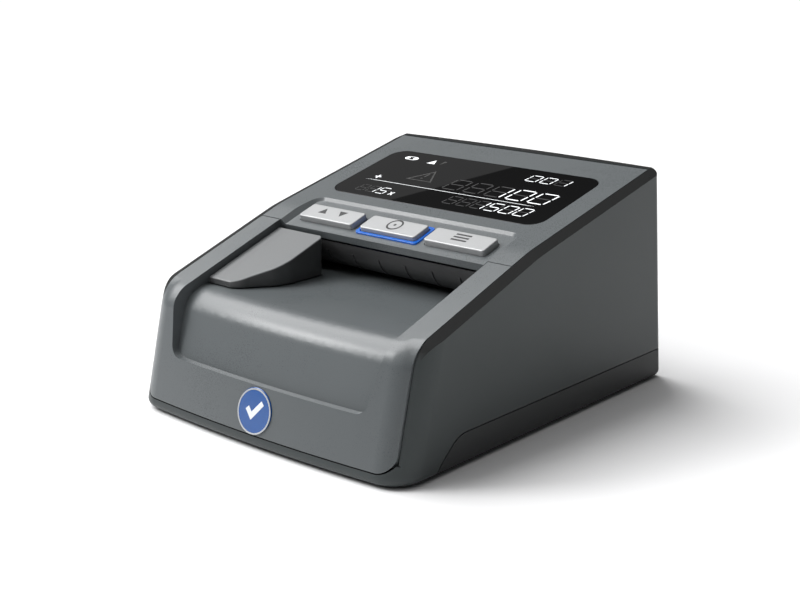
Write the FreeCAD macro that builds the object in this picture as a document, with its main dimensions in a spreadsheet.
import FreeCAD, Part
import math
import os
import Sketcher

# A desk-top banknote checker and counter: a grey plastic shell with a hinged lid,
# three keys, a display, a feed tray and a roller transport that draws each note in.
# Origin: middle of the footprint, at the feet. +X right, +Y to the rear, +Z up.

os.makedirs("parts", exist_ok=True)
doc = FreeCAD.newDocument("note_checker")
sheet = doc.addObject("Spreadsheet::Sheet", "Sheet")

# ---------------------------------------------------------------- driving dimensions
DIMENSIONS = {
    # shell
    "half_width": 64.0, "opening_half": 60.0, "panel_half": 59.7, "wall": 2.2,
    "front_foot_y": -80.1, "front_lean": 0.24, "front_bow": 3.2, "front_corner": 12.0,
    "rear_foot_y": 79.75, "rear_lean": -0.105, "rear_bow": 1.2, "rear_corner": 4.0,
    "underside": 0.8, "foot_round": 2.5, "tall": 120.0,
    # side outline of the top
    "split_y": -15.1, "split_z": 61.3, "front_slope": 0.345, "rear_slope": 0.24,
    "knee_y": -5.8, "knee_run": 2.9023, "knee_radius": 60.0,
    "nose_y": -63.5, "nose_radius": 13.0, "nose_run": 7.1276, "rim_foot": 8.0,
    "rim_taper": 20.0, "split_gap": 0.2,
    # feed tray in the front panel
    "tray_half": 50.0, "tray_floor": 43.5, "tray_back": -1.0, "liner_top": 56.0,
    "ledge_z": 21.5, "ledge_half": 46.5, "ledge_corner": 5.0, "tray_roll": 12.0, "lip_top": 4.8,
    "recess_lean": 0.42, "recess_step": 2.4, "panel_corner": 6.0,
    "badge_z": 13.2, "badge_radius": 7.9, "badge_thick": 1.8,
    # keypad and display
    "pad_half": 47.6, "pad_slope": 0.33, "pad_floor": 59.5, "pad_front": -15.0,
    "pad_back": 4.4, "pad_bevel": 2.4, "pad_bevel_angle": 50.0, "pad_corner": 3.0, "pad_thick": 2.2,
    "key_y": -5.75, "key_half_depth": 4.6, "key_rise": 2.2, "key_skirt": 3.2,
    "key_gap": 0.3, "middle_key_half": 13.3, "side_key_half": 13.6, "side_key_x": 30.8,
    "ring_width": 1.5, "ring_rise": 0.6,
    "glass_half": 50.2, "glass_y": 32.9, "glass_half_depth": 21.8, "glass_thick": 1.6,
    "glass_corner": 6.5, "glass_gap": 0.15,
    # seam and base
    "seam_z": 12.0, "seam_bend_y": -43.5, "seam_gap": 0.3, "seam_front_y": -57.5,
    "foot_radius": 5.0, "foot_x": 50.0, "front_foot": -50.0, "rear_foot": 66.0,
    "screw_x": 53.5, "front_screw_y": -38.0, "rear_screw_y": 52.0,
    # hinge
    "pivot_y": 66.4, "pivot_z": 79.5, "pin_radius": 1.0, "running": 0.05,
    "lid_rear_y": 67.7,
    # transport
    "shaft_radius": 2.0, "shaft_z": 37.9, "front_shaft_y": 12.0, "rear_shaft_y": 48.0,
    "tyre_radius": 6.0, "tyre_x": 22.0, "tyre_half": 5.0, "pinch_radius": 4.0,
    "pinch_z": 48.3, "plate_half": 47.5, "plate_thick": 2.0, "slot_z": 45.3,
    "mouth_y": -2.5, "mouth_radius": 10.8, "plate_back": 60.0,
    "motor_y": 22.0, "motor_z": 25.3, "motor_radius": 8.0,
    "module": 1.0, "gear_teeth": 24.0, "pinion_teeth": 8.0,
    # rear face
    "switch_x": -35.0, "switch_z": 22.0, "inlet_x": 35.0, "inlet_z": 19.5,
    # lid latch
    "latch_y": 4.0, "latch_z": 50.0,
}
for row, (alias, value) in enumerate(DIMENSIONS.items(), start=1):
    sheet.set(f"A{row}", alias)
    sheet.set(f"B{row}", str(value))
    sheet.setAlias(f"B{row}", alias)
doc.recompute()


class Size:
    """A number that also knows the sheet expression it comes from."""

    def __init__(self, number, text=None):
        self.number = float(number)
        self.text = text or f"({self.number!r})"

    def combined(self, other, sign, number):
        return Size(number, f"({self.text} {sign} {as_size(other).text})")

    def __add__(self, other):
        return self.combined(other, "+", self.number + as_size(other).number)

    def __sub__(self, other):
        return self.combined(other, "-", self.number - as_size(other).number)

    def __mul__(self, other):
        return self.combined(other, "*", self.number * as_size(other).number)

    def __rsub__(self, other):
        return as_size(other) - self

    def __neg__(self):
        return Size(-self.number, f"(0 - {self.text})")

    __radd__ = __add__
    __rmul__ = __mul__


def as_size(value):
    return value if isinstance(value, Size) else Size(value)


class Sizes:
    """Every cell of the sheet, as a Size with the cell's own name."""


size = Sizes()
for alias, value in DIMENSIONS.items():
    setattr(size, alias, Size(value, f"Sheet.{alias}"))


def bind(thing, prop, value):
    thing.setExpression(prop, as_size(value).text)


def place(thing, x=0, y=0, z=0):
    for letter, value in zip("xyz", (x, y, z)):
        bind(thing, f".Placement.Base.{letter}", value)
    return thing


# ---------------------------------------------------------------- building blocks
def box(name, x0, x1, y0, y1, z0, z1):
    thing = doc.addObject("Part::Box", name)
    bind(thing, "Length", as_size(x1) - x0)
    bind(thing, "Width", as_size(y1) - y0)
    bind(thing, "Height", as_size(z1) - z0)
    return place(thing, x0, y0, z0)


TURN = {
    "x": FreeCAD.Rotation(FreeCAD.Vector(0, 1, 0), 90),
    "y": FreeCAD.Rotation(FreeCAD.Vector(1, 0, 0), -90),
    "z": FreeCAD.Rotation(),
}


def rod(name, axis, radius, start, length, a, b):
    """A cylinder along one axis: start is where it begins on that axis, a and b are the others."""
    thing = doc.addObject("Part::Cylinder", name)
    bind(thing, "Radius", radius)
    bind(thing, "Height", length)
    thing.Placement = FreeCAD.Placement(FreeCAD.Vector(), TURN[axis])
    corner = {"x": (start, a, b), "y": (a, start, b), "z": (a, b, start)}[axis]
    return place(thing, *corner)


def fuse(name, *things):
    thing = doc.addObject("Part::MultiFuse", name)
    thing.Shapes = list(things)
    thing.Refine = True
    return thing


def common(name, *things):
    thing = doc.addObject("Part::MultiCommon", name)
    thing.Shapes = list(things)
    return thing


def cut(name, base, *tools):
    """base without every tool."""
    tool = tools[0] if len(tools) == 1 else fuse(name + "_tools", *tools)
    thing = doc.addObject("Part::Cut", name)
    thing.Base = base
    thing.Tool = tool
    return thing


def group(name, *things):
    """Separate solids kept together as one node."""
    thing = doc.addObject("Part::Compound", name)
    thing.Links = list(things)
    return thing


FACING = {
    "XY": FreeCAD.Rotation(),
    "YZ": FreeCAD.Rotation(0.5, 0.5, 0.5, 0.5),
    "XZ": FreeCAD.Rotation(FreeCAD.Vector(1, 0, 0), 90),
}


def sketch(name, plane, corners):
    """A closed outline. A corner is (a, b), or (a, b, radius, side) where an arc starts;
    side is +1 where the arc's centre lies on the left of its chord and -1 on the right."""
    thing = doc.addObject("Sketcher::SketchObject", name)
    thing.Placement = FreeCAD.Placement(FreeCAD.Vector(), FACING[plane])
    ends = [(as_size(c[0]), as_size(c[1])) for c in corners]
    count = len(corners)
    for index, corner in enumerate(corners):
        start = FreeCAD.Vector(ends[index][0].number, ends[index][1].number, 0)
        following = ends[(index + 1) % count]
        end = FreeCAD.Vector(following[0].number, following[1].number, 0)
        if len(corner) == 2:
            thing.addGeometry(Part.LineSegment(start, end), False)
            continue
        radius, side = as_size(corner[2]), corner[3]
        chord = end - start
        left = FreeCAD.Vector(-chord.y, chord.x, 0).normalize()
        reach = math.sqrt(radius.number ** 2 - (chord.Length / 2) ** 2)
        centre = (start + end) * 0.5 + left * (side * reach)
        crown = centre - left * (side * radius.number)
        thing.addGeometry(Part.Arc(start, crown, end), False)
    starts = [2 if len(corner) > 2 and corner[3] < 0 else 1 for corner in corners]
    for index, corner in enumerate(corners):
        first = starts[index]
        before = (index - 1) % count
        last = 3 - starts[before]
        thing.addConstraint(Sketcher.Constraint("Coincident", before, last, index, first))
        across = thing.addConstraint(
            Sketcher.Constraint("DistanceX", -1, 1, index, first, ends[index][0].number))
        thing.setExpression(f"Constraints[{across}]", ends[index][0].text)
        along = thing.addConstraint(
            Sketcher.Constraint("DistanceY", -1, 1, index, first, ends[index][1].number))
        thing.setExpression(f"Constraints[{along}]", ends[index][1].text)
        if len(corner) > 2:
            bend = thing.addConstraint(
                Sketcher.Constraint("Radius", index, as_size(corner[2]).number))
            thing.setExpression(f"Constraints[{bend}]", as_size(corner[2]).text)
    return thing


def extrusion(name, outline, direction, length, both_ways=False):
    thing = doc.addObject("Part::Extrusion", name)
    thing.Base = outline
    thing.DirMode = "Custom"
    for letter, value in zip("xyz", direction):
        bind(thing, f".Dir.{letter}", value)
    bind(thing, "LengthFwd", length)
    thing.Symmetric = both_ways
    thing.Solid = True
    return thing


def side_block(name, corners, half):
    """A side outline carried across the width, from -half to +half."""
    return extrusion(name, sketch(name + "_outline", "YZ", corners), (1, 0, 0), 2 * half, True)


def plan_block(name, corners, lean=0):
    """A plan outline carried up from the floor, leaning along Y."""
    outline = sketch(name + "_outline", "XY", corners)
    return extrusion(name, outline, (0, lean, 1), size.tall)


def edges_where(thing, wanted):
    doc.recompute()
    return [number for number, edge in enumerate(thing.Shape.Edges, start=1) if wanted(edge)]


def fillet(name, base, radius, wanted):
    """Rounds the edges that the test picks; the radius stays tied to the sheet's number."""
    thing = doc.addObject("Part::Fillet", name)
    thing.Base = base
    amount = as_size(radius).number
    thing.Edges = [(number, amount, amount) for number in edges_where(base, wanted)]
    return thing


def middle(edge):
    return edge.valueAt((edge.FirstParameter + edge.LastParameter) / 2)


def bow_radius(half, rise):
    """Radius of the arc that rises by rise over a chord of twice half."""
    return Size((half.number ** 2 + rise.number ** 2) / (2 * rise.number),
                f"(({half.text}^2 + {rise.text}^2) / (2 * {rise.text}))")


# ---------------------------------------------------------------- outer envelope
def unit(slope):
    """The run along a sloping line that measures 1 along the line itself."""
    return Size(1 / math.sqrt(1 + slope.number ** 2), f"(1 / sqrt(1 + {slope.text}^2))")


def top_corners(inset, front):
    """The top line from the rear down to the nose, ending with the corners given by front."""
    knee_z = size.split_z + size.front_slope * (size.knee_y - size.split_y) - inset
    rear_z = knee_z + size.rear_slope * (size.tall - size.knee_y)
    behind = size.knee_run * unit(size.rear_slope)
    ahead = size.knee_run * unit(size.front_slope)
    return [
        (size.tall, rear_z),
        (size.knee_y + behind, knee_z + size.rear_slope * behind, size.knee_radius, 1),
        (size.knee_y - ahead, knee_z - size.front_slope * ahead),
    ] + front


def is_upright(edge):
    first, last = edge.Vertexes[0], edge.Vertexes[-1]
    return abs(first.X - last.X) < 0.01 and abs(first.Z - last.Z) > 50


def bowed_front(name, inset, front_y, lean):
    """Everything behind a bowed, leaning front that stands at front_y on the floor."""
    half = size.half_width - inset
    front = plan_block(name + "_sharp", [
        (-half, front_y + size.front_bow, bow_radius(half, size.front_bow), 1),
        (half, front_y + size.front_bow),
        (half, size.tall),
        (-half, size.tall),
    ], lean)
    return fillet(name, front, size.front_corner - inset,
                  lambda e: is_upright(e) and e.Vertexes[0].Y < 0)


def envelope(name, inset, floor):
    """The shell's outside drawn in by inset: bowed leaning front and rear, sloping top."""
    half = size.half_width - inset
    rear_y = size.rear_foot_y - inset
    round_front = bowed_front(name + "_front", inset, size.front_foot_y + inset, size.front_lean)
    rear = plan_block(name + "_rear", [
        (-half, -size.tall),
        (half, -size.tall),
        (half, rear_y - size.rear_bow, bow_radius(half, size.rear_bow), 1),
        (-half, rear_y - size.rear_bow),
    ], size.rear_lean)
    round_rear = fillet(name + "_rear_round", rear, size.rear_corner - 0.5 * inset,
                        lambda e: is_upright(e) and e.Vertexes[0].Y > 0)
    tip_z = size.split_z - size.front_slope * (size.tall + size.split_y) - inset
    profile = side_block(name + "_profile", [
        (-size.tall, -size.tall),
        (size.tall, -size.tall),
    ] + top_corners(inset, [(-size.tall, tip_z)]), half + 5)
    above = box(name + "_above", -100, 100, -150, 150, floor, 150)
    return common(name, round_front, round_rear, profile, above)


def rim_outline(name):
    nose_z = size.split_z + size.front_slope * (size.nose_y - size.split_y)
    drop = nose_z - size.rim_foot
    along_top = size.nose_run * unit(size.front_slope)
    down_front = size.nose_run * unit(size.front_lean)
    return sketch(name, "YZ", [
        (-size.tall, -size.tall),
        (size.tall, -size.tall),
    ] + top_corners(Size(0), [
        (size.nose_y + along_top, nose_z + size.front_slope * along_top, size.nose_radius, 1),
        (size.nose_y - size.front_lean * down_front, nose_z - down_front),
        (size.nose_y - size.front_lean * drop, size.rim_foot),
        (-size.tall, size.rim_foot),
    ]))


def is_underside(edge):
    return abs(edge.BoundBox.ZMax - size.underside.number) < 0.01


outside = fillet("outside", envelope("outside_sharp", Size(0), size.underside),
                 size.foot_round, is_underside)
inside = envelope("inside", size.wall, size.underside + size.wall)
recess_foot = size.front_foot_y + size.recess_step \
    - (size.recess_lean - size.front_lean) * size.ledge_z
recess_face = bowed_front("recess_face", size.wall, recess_foot, size.recess_lean)
recess_back = bowed_front("recess_back", 2 * size.wall, recess_foot + size.wall, size.recess_lean)
rims = [extrusion("middle_rim", rim_outline("middle_rim_outline"), (1, 0, 0),
                  2 * size.opening_half, True)]
for name, side in (("left", -1), ("right", 1)):
    outline = rim_outline(f"{name}_rim_outline")
    bind(outline, ".Placement.Base.x", side * size.opening_half)
    rim = extrusion(f"{name}_rim", outline, (side, 0, 0),
                    size.half_width - size.opening_half + 1)
    bind(rim, "TaperAngle", -size.rim_taper)
    rims.append(rim)
rimmed = common("rimmed_outside", outside, fuse("rims", *rims))


# ---------------------------------------------------------------- tilted pieces
def tilt(slope):
    return FreeCAD.Rotation(FreeCAD.Vector(1, 0, 0), math.degrees(math.atan(slope.number)))


def tilted_pad(name, slope, spot, half_x, half_b, corner, low, high):
    """A round-cornered block on a sloping plane: spot is (x, y, z) on that plane, and the
    block runs from low to high along the plane's normal."""
    half_x, half_b, corner = as_size(half_x), as_size(half_b), as_size(corner)
    outline = sketch(name + "_outline", "XY", [
        (corner - half_x, -half_b),
        (half_x - corner, -half_b, corner, 1),
        (half_x, corner - half_b),
        (half_x, half_b - corner, corner, 1),
        (half_x - corner, half_b),
        (corner - half_x, half_b, corner, 1),
        (-half_x, half_b - corner),
        (-half_x, corner - half_b, corner, 1),
    ])
    outline.Placement = FreeCAD.Placement(FreeCAD.Vector(), tilt(slope))
    run = unit(slope)
    rise = slope * run
    place(outline, spot[0], as_size(spot[1]) - rise * low, as_size(spot[2]) + run * low)
    return extrusion(name, outline, (0, -rise, run), as_size(high) - low)


def pad_z(y):
    """Height of the keypad floor at y."""
    return size.pad_floor + size.pad_slope * (as_size(y) - size.pad_front)


def top_z(y):
    """Height of the rear slope at y."""
    knee_z = size.split_z + size.front_slope * (size.knee_y - size.split_y)
    return knee_z + size.rear_slope * (as_size(y) - size.knee_y)


def across(name, half, y0, y1, z0, z1):
    return box(name, -as_size(half), half, y0, y1, z0, z1)


def round_foot_slab(name, half, low, corner):
    """A slab through the whole depth whose two lower corners are round, seen from the front."""
    slab = across(name + "_sharp", half, -150, 150, low, 140)
    return fillet(name, slab, corner,
                  lambda e: e.BoundBox.YLength > 100 and middle(e).z < as_size(low).number + 1)


# ---------------------------------------------------------------- base tray
def seam_block(name, gap):
    """Everything under the seam: level at the back, stepping down to the front lip."""
    rise = size.seam_z + gap
    bend = size.seam_bend_y - gap
    front = size.seam_front_y - gap
    return side_block(name, [
        (front, -20),
        (size.tall, -20),
        (size.tall, rise),
        (bend, rise, 12, 1),
        (bend - 6.2, rise - 2.2),
        (front + 1.5, rise - 7.6),
        (front, rise - 9.5),
    ], 80)


FEET = [(x, y) for x in (-size.foot_x, size.foot_x) for y in (size.front_foot, size.rear_foot)]
SCREWS = [(x, y) for x in (-size.screw_x, size.screw_x)
          for y in (size.front_screw_y, size.rear_screw_y)]
floor_top = size.underside + size.wall
battery_half, battery_front, battery_back = Size(25), Size(20), Size(54)
base_block = common("base_block", outside, seam_block("seam_base", Size(0)))
base_shell = cut("base_shell", base_block, inside,
                 across("battery_opening", battery_half, battery_front, battery_back, -1, 6))
posts = [rod(f"post_{i}", "z", 3.0, floor_top - 0.5, 7.0, x, y) for i, (x, y) in enumerate(SCREWS)]
bay = cut("battery_bay",
          across("bay_outer", battery_half + 1.2, battery_front - 1.2, battery_back + 1.2,
                 floor_top - 0.5, 9),
          across("bay_inner", battery_half, battery_front, battery_back, 0, 10))
base_cuts = [rod(f"foot_pocket_{i}", "z", size.foot_radius, 0, 1.8, x, y)
             for i, (x, y) in enumerate(FEET)]
base_cuts += [rod(f"screw_bore_{i}", "z", 1.2, 0, 9, x, y) for i, (x, y) in enumerate(SCREWS)]
base_cuts += [rod(f"screw_sink_{i}", "z", 2.4, 0, 2.2, x, y) for i, (x, y) in enumerate(SCREWS)]
base_tray = cut("base_tray", fuse("base_solid", base_shell, bay, *posts), *base_cuts)
rubber_feet = group("rubber_feet", *[
    fillet(f"foot_{i}", rod(f"foot_disc_{i}", "z", size.foot_radius, 0, 1.8, x, y), Size(0.5),
           lambda e: e.BoundBox.ZMax < 0.1)
    for i, (x, y) in enumerate(FEET)])
base_screws = group("base_screws", *[
    cut(f"screw_{i}",
        fuse(f"screw_blank_{i}", rod(f"screw_head_{i}", "z", 2.4, 1.0, 1.2, x, y),
             rod(f"screw_shank_{i}", "z", 1.2, 2.0, 7, x, y)),
        box(f"screw_slot_{i}", x - 1.6, x + 1.6, y - 0.3, y + 0.3, 0.5, 1.6),
        box(f"screw_cross_{i}", x - 0.3, x + 0.3, y - 1.6, y + 1.6, 0.5, 1.6))
    for i, (x, y) in enumerate(SCREWS)])
door_gap = 0.2
battery_door = fuse(
    "battery_door",
    across("door_plate", battery_half - door_gap, battery_front + door_gap,
           battery_back - door_gap, size.underside, size.underside + 1.6),
    *[box(f"door_grip_{i}", -9, 9, battery_back - 8 + 2 * i, battery_back - 7 + 2 * i,
          size.underside - 0.3, size.underside + 0.5) for i in range(3)])
battery_pack = fillet("battery_pack",
                      across("pack_block", 23, battery_front + 2, battery_back - 2, 2.8, 13),
                      Size(2), lambda e: abs(middle(e).z - 13) < 0.1)

# ---------------------------------------------------------------- main housing
opening_rear, undercut_rear = size.lid_rear_y + 0.9, size.lid_rear_y + 1.9
lid_foot_z = size.pivot_z - 3.2
opening_side = side_block("opening_side", [
    (-size.tall, size.lip_top),
    (60, size.lip_top),
    (60, lid_foot_z),
    (undercut_rear, lid_foot_z),
    (undercut_rear, size.pivot_z + 2),
    (opening_rear, size.pivot_z + 2.2),
    (opening_rear, size.tall),
    (-size.tall, size.tall),
], size.opening_half)
opening = common("opening", opening_side,
                 round_foot_slab("opening_slab", size.opening_half + 1, size.lip_top,
                                 size.panel_corner + 1.3))
wall_cuts = [
    box("switch_hole", size.switch_x - 8, size.switch_x + 8, 66, 90,
        size.switch_z - 7, size.switch_z + 7),
    rod("inlet_hole", "y", 4.5, 66, 20, size.inlet_x, size.inlet_z),
    box("usb_hole", 11.5, 20.5, 66, 90, 16.5, 21.5),
    box("card_hole", -11.5, 4.5, 66, 90, 17.0, 20.5),
    rod("latch_hole", "x", 4.3, -70, 12, size.latch_y, size.latch_z),
]
housing_shell = cut("housing_shell", rimmed, inside, opening,
                    seam_block("seam_housing", size.seam_gap), *wall_cuts)
ears = [box(f"hinge_ear_{side}", *sorted((side * 60.2, side * 62.6)), size.pivot_y - 2.4,
            size.pivot_y + 3.0, size.pivot_z - 2.4, size.pivot_z + 1.1) for side in (-1, 1)]
housing_body = fuse("housing_body", housing_shell, *ears)
pin_bores = [rod(f"pin_bore_{side}", "x", size.pin_radius, -size.opening_half * (side < 0) * 1.04
                 + size.opening_half * (side > 0), 2.4, size.pivot_y, size.pivot_z)
             for side in (-1, 1)]
main_housing = cut("main_housing", housing_body, *pin_bores)
hinge_pins = group("hinge_pins", *[
    rod(f"pin_{side}", "x", size.pin_radius, start, 5.4, size.pivot_y, size.pivot_z)
    for side, start in ((-1, Size(-62.4)), (1, Size(57.0)))])

# ---------------------------------------------------------------- front panel
front_region = side_block("front_region", [
    (-size.tall, size.lip_top + 0.4),
    (size.tray_back, size.lip_top + 0.4),
    (size.tray_back, size.liner_top),
    (size.split_y - size.split_gap + size.front_lean * (size.split_z - size.liner_top),
     size.liner_top),
    (size.split_y - size.split_gap - 4.8, size.split_z + 20),
    (-size.tall, size.split_z + 20),
], size.panel_half)
front_block = common("front_block", outside, front_region,
                     round_foot_slab("panel_slab", size.panel_half, size.lip_top + 0.4,
                                     size.panel_corner))


def is_front_brow(edge):
    spot = middle(edge)
    return 40 < spot.z < 46 and spot.y < -55 and edge.BoundBox.XLength > 2


front_round = fillet("front_round", front_block, Size(11), is_front_brow)


def recess_slab(name, grow):
    """The outline of the recess seen from the front, carried through the whole depth."""
    outline = sketch(name + "_outline", "XZ", [
        (-size.ledge_half - grow, size.ledge_z - grow),
        (size.ledge_half + grow, size.ledge_z - grow),
        (size.tray_half + grow, 40),
        (size.tray_half + grow, 110),
        (-size.tray_half - grow, 110),
        (-size.tray_half - grow, 40),
    ])
    slab = extrusion(name + "_sharp", outline, (0, 1, 0), 260, True)
    return fillet(name, slab, size.ledge_corner,
                  lambda e: abs(middle(e).z - (size.ledge_z - grow).number) < 0.1
                  and e.BoundBox.YLength > 100)


def tray_mass(name, face, top, roll):
    """What fills the recess up to the tray: a flat top that rolls over into the front face."""
    sharp = common(name + "_sharp", face, across(name + "_cover", 51.8, -130, 130, -5, top))
    return fillet(name, sharp, roll, lambda e: abs(middle(e).z - as_size(top).number) < 0.05
                  and middle(e).y < -40 and e.BoundBox.XLength > 20)


air = cut("tray_air", recess_slab("tray_slab", Size(0)),
          tray_mass("tray_mass", recess_face, size.tray_floor, size.tray_roll))
core = cut("tray_core", recess_slab("core_slab", size.wall),
           tray_mass("core_mass", recess_back, size.tray_floor - size.wall,
                     size.tray_roll - size.wall))
hollow = cut("front_hollow",
             common("front_hollow_block", inside,
                    across("front_hollow_box", size.panel_half - size.wall, -size.tall, 40, 0, 120)),
             core)
badge_spot_y = size.front_foot_y + size.front_lean * size.badge_z
lean_turn = FreeCAD.Rotation(FreeCAD.Vector(1, 0, 0),
                             90 - math.degrees(math.atan(size.front_lean.number)))


def badge_rod(name, radius, depth, length):
    """A disc square to the leaning front face, starting at depth behind it."""
    thing = doc.addObject("Part::Cylinder", name)
    bind(thing, "Radius", radius)
    bind(thing, "Height", length)
    thing.Placement = FreeCAD.Placement(FreeCAD.Vector(), lean_turn)
    run = unit(size.front_lean)
    return place(thing, 0, badge_spot_y + run * depth, size.badge_z - size.front_lean * run * depth)


front_fascia = cut("front_fascia", front_round, hollow, air,
                   badge_rod("badge_pocket", size.badge_radius + 0.1, Size(1.4), Size(10)))
badge_disc = fillet("badge_disc",
                    badge_rod("badge_blank", size.badge_radius, Size(1.4), size.badge_thick),
                    Size(0.3), lambda e: middle(e).y < badge_spot_y.number)

# ---------------------------------------------------------------- lid
split_lean = size.front_lean
lid_region = side_block("lid_region", [
    (size.split_y + size.split_gap + split_lean * (size.split_z - 57), 57),
    (size.lid_rear_y, lid_foot_z + 0.3),
    (size.lid_rear_y, size.tall),
    (size.split_y + size.split_gap - split_lean * 20, size.tall),
    (size.split_y + size.split_gap - split_lean * 20, size.split_z + 20),
], size.panel_half)
lid_block = common("lid_block", outside, lid_region)
lid_block_tall = common("lid_block_tall", outside,
                        across("post_room", 46, -10, size.lid_rear_y - 2, 40, 120))
lid_hollow = common("lid_hollow", inside,
                    across("lid_hollow_box", size.panel_half - size.wall, -12.5,
                           size.lid_rear_y - size.wall, 0, 120))
pad_body = common(
    "pad_body", lid_block,
    side_block("pad_wedge", [
        (-30, pad_z(-30) - size.pad_thick),
        (10, pad_z(10) - size.pad_thick),
        (10, 100),
        (-30, 100),
    ], size.pad_half + size.pad_bevel + size.wall))


pad_half_depth = Size(22)
pad_air = tilted_pad("pad_air", size.pad_slope,
                     (0, size.pad_back - pad_half_depth, pad_z(size.pad_back - pad_half_depth)),
                     size.pad_half, pad_half_depth * 1.053, size.pad_corner, Size(0), Size(9))
bind(pad_air, "TaperAngle", size.pad_bevel_angle)

KEYS = {"key_left": (-size.side_key_x, size.side_key_half),
        "key_middle": (Size(0), size.middle_key_half),
        "key_right": (size.side_key_x, size.side_key_half)}
key_spot_z = pad_z(size.key_y)
key_holes = []
for name, (x, half) in KEYS.items():
    room = size.ring_width if name == "key_middle" else size.key_gap
    key_holes.append(tilted_pad(name + "_hole", size.pad_slope, (x, size.key_y, key_spot_z),
                                half + room, size.key_half_depth + room, 1.5, Size(-8), Size(6)))
glass_spot = (0, size.glass_y, top_z(size.glass_y))
glass_pocket = tilted_pad("glass_pocket", size.rear_slope, glass_spot,
                          size.glass_half + size.glass_gap,
                          size.glass_half_depth + size.glass_gap, size.glass_corner,
                          -size.glass_thick, Size(5))
glass_window = tilted_pad("glass_window", size.rear_slope, glass_spot, size.glass_half - 3,
                          size.glass_half_depth - 3, 3, Size(-6), Size(5))
catch_x = -(size.panel_half - size.wall)
catch = box("catch_plate", catch_x - 0.4, catch_x + 1.8, size.latch_y - 4, size.latch_y + 4,
            54, 62.5)
plate_posts = [
    common(f"post_{side}_{y}", lid_block_tall,
           box(f"post_block_{side}_{y}", *sorted((side * 41, side * 45)), y, y + 4,
               size.slot_z + size.plate_thick, 90))
    for side in (-1, 1) for y in (4, 55.4)]
lid_solid = fuse("lid_solid", cut("lid_shell", lid_block, lid_hollow), pad_body, catch,
                 *plate_posts)
lid_bore = rod("lid_bore", "x", size.pin_radius + size.running, -80, 160,
               size.pivot_y, size.pivot_z)
catch_window = box("catch_window", catch_x - 1, catch_x + 3, size.latch_y - 2.4,
                   size.latch_y + 2.4, 55.4, 58.6)
top_lid = cut("top_lid", lid_solid, lid_bore, catch_window, glass_pocket, glass_window,
              pad_air, *key_holes)
display_window = tilted_pad("display_window", size.rear_slope, glass_spot, size.glass_half,
                            size.glass_half_depth, size.glass_corner, -size.glass_thick, Size(0))
lcd_module = tilted_pad("lcd_module", size.rear_slope, glass_spot, 46, 18, 1, Size(-6.5),
                        -size.glass_thick - 0.9)

# ---------------------------------------------------------------- keys
for name, (x, half) in KEYS.items():
    blank = tilted_pad(name + "_blank", size.pad_slope, (x, size.key_y, key_spot_z), half,
                       size.key_half_depth, 1.2, -size.key_skirt, size.key_rise)
    fillet(name, blank, Size(0.5), lambda e: middle(e).z
           > pad_z(middle(e).y).number + size.key_rise.number * 0.9)
ring = tilted_pad("ring_blank", size.pad_slope, (0, size.key_y, key_spot_z),
                  size.middle_key_half + size.ring_width,
                  size.key_half_depth + size.ring_width, 1.5, -size.pad_thick, size.ring_rise)
ring_hole = tilted_pad("ring_hole", size.pad_slope, (0, size.key_y, key_spot_z),
                       size.middle_key_half + size.key_gap,
                       size.key_half_depth + size.key_gap, 1.3, Size(-6), Size(4))
key_light_ring = cut("key_light_ring", ring, ring_hole)
key_board = tilted_pad("key_board", size.pad_slope, (0, size.key_y, key_spot_z), 46, 5.8, 1,
                       Size(-6.6), Size(-5.2))
tact_switches = group("tact_switches", *[
    fuse(f"switch_{name}",
         tilted_pad(f"switch_case_{name}", size.pad_slope, (x, size.key_y, key_spot_z), 2.4, 2.4,
                    0.4, Size(-5.2), Size(-4.6)),
         tilted_pad(f"switch_stem_{name}", size.pad_slope, (x, size.key_y, key_spot_z), 1, 1,
                    0.4, Size(-4.7), Size(-4.3)))
    for name, (x, half) in KEYS.items()])

# ---------------------------------------------------------------- left note guide
guide_outline = sketch("note_guide_outline", "XY", [
    (-49.6, -51.9),
    (-38.6, -51.9, 9, 1),
    (-33.3, -47.0),
    (-28.5, -40.4, 18, 1),
    (-26.0, -32.5),
    (-26.0, -18.2, 2.2, 1),
    (-28.2, -16.0),
    (-49.6, -16.0),
])
bind(guide_outline, ".Placement.Base.z", size.tray_floor + 0.3)
guide_block = extrusion("guide_block", guide_outline, (0, 0, 1), 30)
guide_top_z = size.split_z - 2.5
note_guide = common("note_guide", guide_block, side_block("guide_slope", [
    (-80, 20),
    (0, 20),
    (0, guide_top_z - size.front_slope * size.split_y),
    (-80, guide_top_z - size.front_slope * (size.split_y + 80)),
], 60))

# ---------------------------------------------------------------- note path plates
mouth_z = size.slot_z + size.mouth_radius
inner_radius = size.mouth_radius - size.plate_thick
upper_blank = side_block("upper_blank", [
    (size.mouth_y - size.mouth_radius, mouth_z, size.mouth_radius, 1),
    (size.mouth_y, size.slot_z),
    (size.plate_back, size.slot_z),
    (size.plate_back, size.slot_z + size.plate_thick),
    (size.mouth_y, size.slot_z + size.plate_thick, inner_radius, -1),
    (size.mouth_y - inner_radius, mouth_z),
], size.plate_half)
SHAFTS = {"front": size.front_shaft_y, "rear": size.rear_shaft_y}
SIDES = (-1, 1)
pinch_ears = []
upper_cuts = []
lower_cuts = []
for end, y in SHAFTS.items():
    for side in SIDES:
        x = side * size.tyre_x
        pinch_ears.append(box(f"{end}_pinch_ear_{side}", *sorted((side * 31, side * 34)),
                              y - 3, y + 3, size.slot_z + 1, size.pinch_z + 3))
        upper_cuts.append(box(f"{end}_pinch_window_{side}", x - 5, x + 5, y - 5, y + 5, 40, 50))
        lower_cuts.append(box(f"{end}_tyre_window_{side}", x - 6, x + 6, y - 6.6, y + 6.6,
                              35, 50))
    upper_cuts.append(rod(f"{end}_pinch_bore", "x", 1.05, -40, 80, y, size.pinch_z))
upper_cuts.append(across("upper_sensor_slot", 40, 20.5, 24.5, 40, 50))
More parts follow.
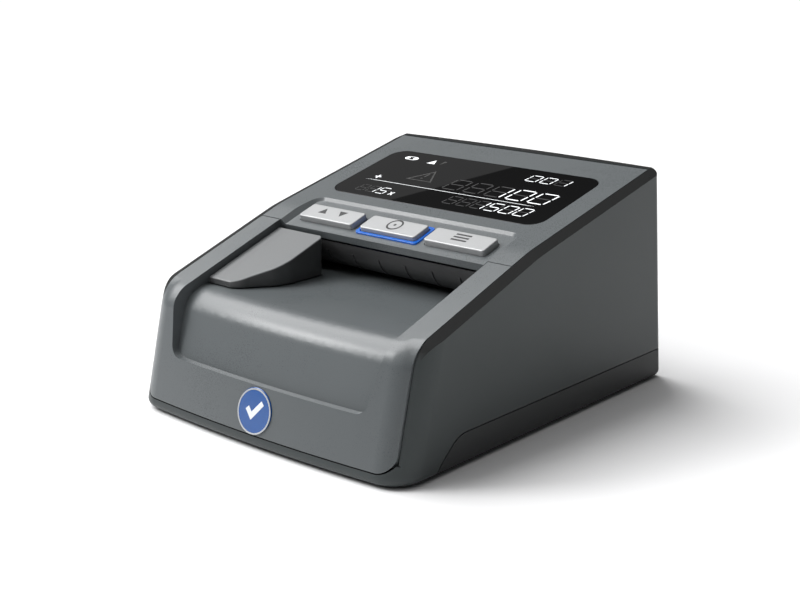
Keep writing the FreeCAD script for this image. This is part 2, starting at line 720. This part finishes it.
cut("upper_note_plate", fuse("upper_solid", upper_blank, *pinch_ears), *upper_cuts)
lower_blank = fuse(
    "lower_solid",
    across("lower_sheet", size.plate_half, size.tray_back + 0.4, 62,
           size.tray_floor - size.plate_thick, size.tray_floor),
    *[box(f"frame_cheek_{side}", *sorted((side * 45.5, side * 47.5)), 2, 58, 31,
          size.tray_floor - 1) for side in SIDES])
bearing_holes = [rod(f"{end}_bearing_hole", "x", 3.5, -60, 120, y, size.shaft_z)
                 for end, y in SHAFTS.items()]
cut("lower_note_plate", lower_blank, *lower_cuts, *bearing_holes,
    across("lower_sensor_slot", 40, 20.5, 24.5, 40, 50),
    across("head_slot", 6.4, 29.6, 36.4, 40, 50))
shaft_bearings = group("shaft_bearings", *[
    cut(f"{end}_bearing_{side}",
        fuse(f"{end}_bearing_blank_{side}",
             rod(f"{end}_bush_{side}", "x", 3.5, side * 46.5 - 1.0, 2.0, y, size.shaft_z),
             rod(f"{end}_bush_flange_{side}", "x", 4.3, side * 48.1 - 0.6, 1.2, y, size.shaft_z)),
        rod(f"{end}_bush_bore_{side}", "x", size.shaft_radius + size.running, -60, 120, y,
            size.shaft_z))
    for end, y in SHAFTS.items() for side in SIDES])

# ---------------------------------------------------------------- rollers and drive
for end, y in SHAFTS.items():
    reach = 56 if end == "front" else 49.5
    rod(f"{end}_drive_shaft", "x", size.shaft_radius, -52.5, Size(reach) + 52.5, y, size.shaft_z)
    group(f"{end}_drive_tyres", *[
        cut(f"{end}_tyre_{side}",
            rod(f"{end}_tyre_blank_{side}", "x", size.tyre_radius,
                side * size.tyre_x - size.tyre_half, 2 * size.tyre_half, y, size.shaft_z),
            rod(f"{end}_tyre_bore_{side}", "x", size.shaft_radius, -60, 120, y, size.shaft_z))
        for side in SIDES])
    rod(f"{end}_pinch_shaft", "x", 1.0, -35, 70, y, size.pinch_z)
    group(f"{end}_pinch_wheels", *[
        cut(f"{end}_pinch_wheel_{side}",
            rod(f"{end}_pinch_blank_{side}", "x", size.pinch_radius, side * size.tyre_x - 4, 8, y,
                size.pinch_z),
            rod(f"{end}_pinch_wheel_bore_{side}", "x", 1.0, -60, 120, y, size.pinch_z))
        for side in SIDES])

pulley_x, pulley_width, pulley_radius = Size(-52), Size(3), Size(5)
for end, y in SHAFTS.items():
    cut(f"{end}_pulley",
        fuse(f"{end}_pulley_blank",
             rod(f"{end}_pulley_drum", "x", pulley_radius, pulley_x, pulley_width, y, size.shaft_z),
             rod(f"{end}_pulley_rim", "x", pulley_radius + 1.6, pulley_x - 0.5, 0.6, y,
                 size.shaft_z)),
        rod(f"{end}_pulley_bore", "x", size.shaft_radius, -70, 140, y, size.shaft_z))


def belt_run(name, radius, start, width):
    ends = [rod(f"{name}_{end}", "x", radius, start, width, y, size.shaft_z)
            for end, y in SHAFTS.items()]
    middle_box = box(name + "_span", start, start + width, size.front_shaft_y,
                     size.rear_shaft_y, size.shaft_z - radius, size.shaft_z + radius)
    return fuse(name, *ends, middle_box)


drive_belt = cut("drive_belt",
                 belt_run("belt_outer", pulley_radius + 1.3, pulley_x + 0.4, Size(2.2)),
                 belt_run("belt_inner", pulley_radius + 0.3, pulley_x - 5, Size(20)))


def toothed_wheel(name, teeth, start, width, y, z, bore, phase):
    """A spur gear as an outline: each tooth is a trapezium on the root circle."""
    count = int(teeth.number)
    pitch_radius = size.module * teeth * 0.5
    root = pitch_radius.number - 1.1 * size.module.number
    crest = pitch_radius.number + 0.85 * size.module.number
    step = 2 * math.pi / count
    points = []
    for tooth in range(count):
        centre = phase + tooth * step
        for offset, radius in ((-0.26, root), (-0.10, crest), (0.10, crest), (0.26, root)):
            angle = centre + offset * step
            points.append(FreeCAD.Vector(0, radius * math.cos(angle), radius * math.sin(angle)))
    points.append(points[0])
    thing = doc.addObject("Part::Feature", name)
    wheel = Part.Face(Part.makePolygon(points)).extrude(FreeCAD.Vector(width.number, 0, 0))
    if bore.number > 0:
        wheel = wheel.cut(Part.makeCylinder(bore.number, width.number + 2,
                                            FreeCAD.Vector(-1, 0, 0), FreeCAD.Vector(1, 0, 0)))
    thing.Shape = wheel
    thing.Placement = FreeCAD.Placement(
        FreeCAD.Vector(start.number, y.number, z.number), FreeCAD.Rotation())
    return thing


gear_x, gear_width = Size(52), Size(3.6)
mesh_angle = math.atan2((size.motor_z - size.shaft_z).number,
                        (size.motor_y - size.front_shaft_y).number)
drive_gear = toothed_wheel("drive_gear", size.gear_teeth, gear_x, gear_width,
                           size.front_shaft_y, size.shaft_z, size.shaft_radius, mesh_angle)
pinion_wheel = toothed_wheel("pinion_wheel", size.pinion_teeth, gear_x, gear_width, size.motor_y,
                             size.motor_z, Size(0), mesh_angle + math.pi
                             + math.pi / size.pinion_teeth.number)
motor_pinion = fuse("motor_pinion", pinion_wheel,
                    rod("motor_shaft", "x", 1.0, 38, gear_x + gear_width - 38, size.motor_y,
                        size.motor_z))
drive_motor = cut("drive_motor",
                  fuse("motor_blank",
                       rod("motor_can", "x", size.motor_radius, 16, 27.6, size.motor_y,
                           size.motor_z),
                       rod("motor_boss", "x", 3.0, 43, 1.8, size.motor_y, size.motor_z)),
                  rod("motor_bore", "x", 1.05, 37.5, 20, size.motor_y, size.motor_z))
motor_bracket = cut("motor_bracket",
                    fuse("bracket_blank",
                         box("bracket_plate", 43.7, 45.1, 12, 32, floor_top, 30.5),
                         box("bracket_foot", 36, 45.1, 12, 18, floor_top, floor_top + 1.4)),
                    rod("bracket_hole", "x", 3.0, 40, 10, size.motor_y, size.motor_z))

# ---------------------------------------------------------------- sensors and electronics
upper_sensor_window = across("upper_sensor_window", 40, 20.5, 24.5, size.slot_z + 0.2,
                             size.slot_z + 1.2)
lower_sensor_window = across("lower_sensor_window", 40, 20.5, 24.5, size.tray_floor - 1.2,
                             size.tray_floor - 0.2)
upper_sensor_board = across("upper_sensor_board", 40, 19, 26, 52, 53.5)
lower_sensor_board = across("lower_sensor_board", 40, 19, 26, 35.6, 37.1)
magnetic_head = fillet("magnetic_head",
                       across("head_block", 6, 30, 36, 36.5, size.tray_floor - 0.1), Size(1.2),
                       lambda e: abs(middle(e).z - size.tray_floor.number + 0.1) < 0.05
                       and e.BoundBox.XLength > 5)
main_board = fuse("main_board",
                  across("board_sheet", 44, -50, 8, 6.0, 7.6),
                  box("board_chip", -12, 8, -34, -14, 7.4, 9.4),
                  box("board_connector", 24, 40, -2, 6, 7.4, 13),
                  *[rod(f"board_capacitor_{i}", "z", 3, 7.4, 9, -34 + 9 * i, -4) for i in range(3)])
buzzer = cut("buzzer", rod("buzzer_can", "z", 6, 7.6, 5, 30, -34),
             rod("buzzer_hole", "z", 1.2, 11, 5, 30, -34))


def rear_y(x, z):
    """The rear face at x and z, near enough for the sockets in it."""
    level = size.rear_foot_y + size.rear_lean * as_size(z)
    share = as_size(x) * as_size(x) * (1 / size.half_width.number ** 2)
    return level - size.rear_bow * share


inlet_face = rear_y(size.inlet_x, size.inlet_z)
dc_inlet = fuse(
    "dc_inlet",
    cut("inlet_shell",
        fuse("inlet_blank",
             box("inlet_case", size.inlet_x - 5, size.inlet_x + 5, 62, 73.5, size.inlet_z - 5,
                 size.inlet_z + 5),
             rod("inlet_collar", "y", 4.4, 73, inlet_face - 72.6, size.inlet_x, size.inlet_z)),
        rod("inlet_bore", "y", 2.9, inlet_face - 9, 12, size.inlet_x, size.inlet_z)),
    rod("inlet_pin", "y", 0.95, inlet_face - 9.5, 8.3, size.inlet_x, size.inlet_z))
usb_port = cut("usb_port", box("usb_case", 12, 20, 64, 77.3, 17, 21),
               box("usb_mouth", 12.6, 19.4, 66, 90, 17.6, 20.4))
usb_tongue = box("usb_tongue", 13.6, 18.4, 65, 75.5, 18.7, 19.3)
data_port = fuse("data_port", usb_port, usb_tongue)
card_slot = cut("card_slot", box("card_case", -11, 4, 60, 77.3, 17.5, 20),
                box("card_mouth", -10.2, 3.2, 61, 90, 18.1, 19.4))

# ---------------------------------------------------------------- power switch
switch_face = rear_y(size.switch_x, size.switch_z)
switch_frame = cut("switch_frame",
                   box("switch_case", size.switch_x - 7.7, size.switch_x + 7.7, 66,
                       switch_face + 0.2, size.switch_z - 6.7, size.switch_z + 6.7),
                   box("switch_well", size.switch_x - 6.4, size.switch_x + 6.4, 69, 90,
                       size.switch_z - 5.6, size.switch_z + 5.6))
rocker_outline = sketch("rocker_outline", "YZ", [
    (70.5, 18), (77.6, 17.8), (76.9, 22), (78.2, 26.2), (70.5, 26)])
bind(rocker_outline, ".Placement.Base.x", size.switch_x)
power_rocker = extrusion("power_rocker", rocker_outline, (1, 0, 0), 11.4, True)

# ---------------------------------------------------------------- lid release
release_button = fuse(
    "release_button",
    fillet("button_head", rod("button_blank", "x", 4.0, -63.9, 3.2, size.latch_y, size.latch_z),
           Size(0.6), lambda e: middle(e).x < -63.8),
    box("button_arm", -61.5, -60.7, size.latch_y - 2, size.latch_y + 2, size.latch_z, 58),
    box("button_nose", -61.5, catch_x - 0.6, size.latch_y - 2, size.latch_y + 2, 56, 58))

# ---------------------------------------------------------------- check and write
NODES = [
    "main_housing", "base_tray", "front_fascia", "badge_disc", "rubber_feet", "base_screws",
    "battery_door", "battery_pack", "hinge_pins", "top_lid", "display_window", "lcd_module",
    "key_left", "key_middle", "key_right", "key_light_ring", "key_board", "tact_switches",
    "note_guide", "upper_note_plate", "lower_note_plate", "shaft_bearings",
    "front_drive_shaft", "front_drive_tyres", "rear_drive_shaft", "rear_drive_tyres",
    "front_pinch_shaft", "front_pinch_wheels", "rear_pinch_shaft", "rear_pinch_wheels",
    "front_pulley", "rear_pulley", "drive_belt", "drive_gear", "motor_pinion", "drive_motor",
    "motor_bracket", "upper_sensor_window", "lower_sensor_window", "upper_sensor_board",
    "lower_sensor_board", "magnetic_head", "main_board", "buzzer", "dc_inlet", "data_port",
    "card_slot", "switch_frame", "power_rocker", "release_button",
]
doc.recompute()
failed = [o.Name for o in doc.Objects if "Invalid" in o.State or "Error" in o.State]
if failed:
    raise RuntimeError(f"these failed: {failed}")
for node in NODES:
    thing = doc.getObject(node)
    thing.Label = node
    if thing.Shape.isNull() or not thing.Shape.isValid():
        raise RuntimeError(f"{node} has no sound shape")
    thing.Shape.exportStep(f"parts/{node}.step")
    print(f"{node}: {len(thing.Shape.Solids)} solids, {thing.Shape.Volume:.1f} mm3")
